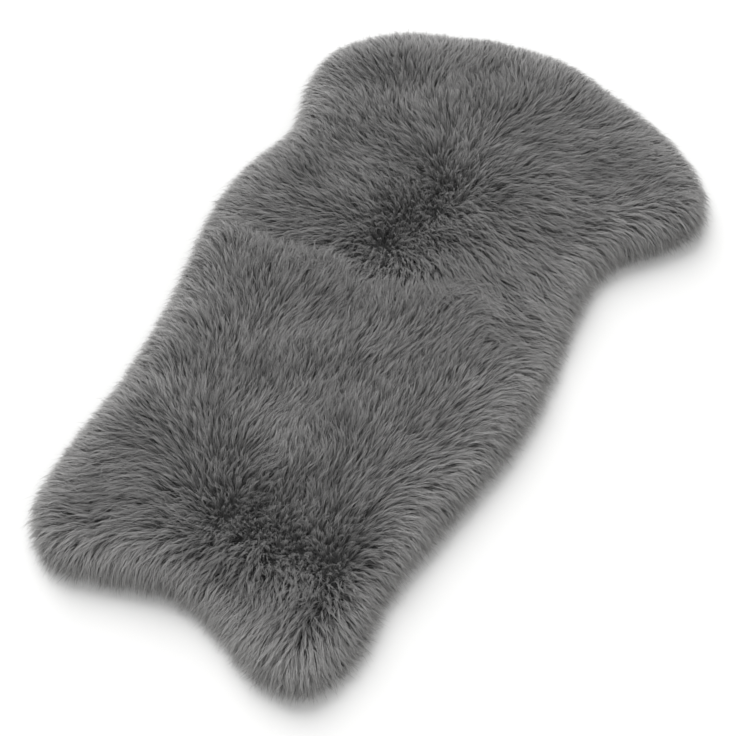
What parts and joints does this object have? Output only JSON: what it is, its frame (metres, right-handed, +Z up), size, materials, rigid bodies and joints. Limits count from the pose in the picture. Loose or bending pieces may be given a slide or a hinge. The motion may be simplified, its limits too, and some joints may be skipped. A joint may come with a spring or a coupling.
{
  "type": "sheepskin rug",
  "caption": "Long-wool sheepskin rug in mid grey, hide-shaped with broad shoulders, drawn-in sides and hind flaps, laid out flat with its deep fleece upwards.",
  "frame": {"origin": "on the resting face, under the middle of the rug's box", "axes": "+Z up through the fleece, +Y along the back line towards the neck end, +X to the right as seen from above with the neck end away"},
  "size_m": [0.724, 1.2, 0.055],
  "materials": {
    "fleece": "long soft wool in pointed locks, mid grey with darker roots and paler tips",
    "hide": "matt suede side of the tanned hide, dyed grey"
  },
  "bodies": {
    "root": {"sheepskin": "fleece"}
  },
  "joints": []
}
